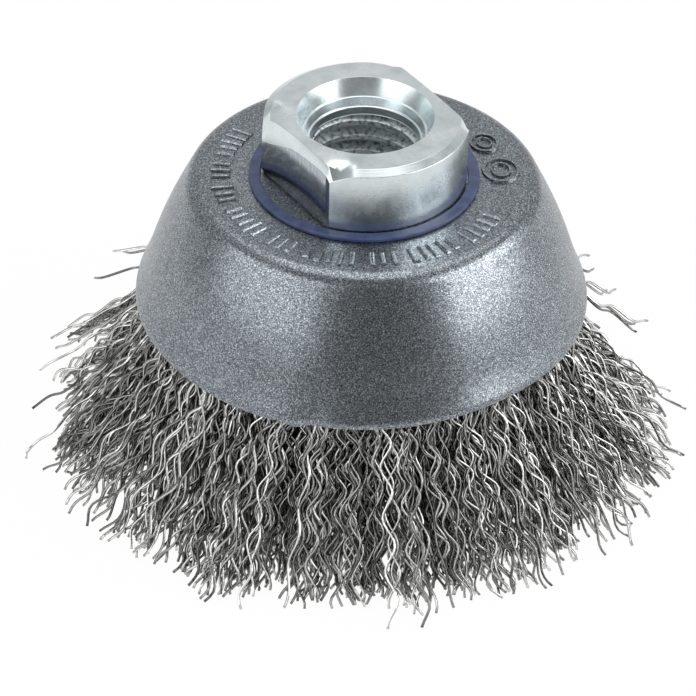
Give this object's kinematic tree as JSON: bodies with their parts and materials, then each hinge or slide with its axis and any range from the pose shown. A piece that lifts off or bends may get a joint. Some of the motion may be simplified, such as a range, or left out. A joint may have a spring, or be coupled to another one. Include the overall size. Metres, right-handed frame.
{
  "type": "wire cup brush",
  "caption": "Crimped steel wire cup brush with a threaded arbor nut, pressed steel cup, inner cup and folded wire fill.",
  "frame": {"origin": "on the spindle axis, in the plane of the trimmed wire tips", "axes": "+Z along the spindle axis, from the wire face up to the nut; -Y towards the viewer of the picture"},
  "size_m": [0.0798, 0.0798, 0.0439],
  "materials": {
    "zinc_plate": "bright zinc plate, turned",
    "blue_plastic": "dark blue, satin",
    "hammer_paint": "silver grey metallic paint with a coarse sparkle",
    "inner_steel": "pressed sheet, lightly oiled",
    "ring_steel": "drawn wire, dull",
    "wire_steel": "hard drawn crimped wire, dark with bright streaks"
  },
  "bodies": {
    "root": {"arbor_nut": "zinc_plate", "seat_ring": "blue_plastic", "cup_shell": "hammer_paint", "inner_cup": "inner_steel", "retaining_ring": "ring_steel", "wires_01": "wire_steel", "wires_02": "wire_steel", "wires_03": "wire_steel", "wires_04": "wire_steel", "wires_05": "wire_steel", "wires_06": "wire_steel", "wires_07": "wire_steel", "wires_08": "wire_steel", "wires_09": "wire_steel", "wires_10": "wire_steel", "wires_11": "wire_steel", "wires_12": "wire_steel", "wires_13": "wire_steel", "wires_14": "wire_steel", "wires_15": "wire_steel", "wires_16": "wire_steel", "wires_17": "wire_steel", "wires_18": "wire_steel", "wires_19": "wire_steel", "wires_20": "wire_steel"}
  },
  "joints": []
}
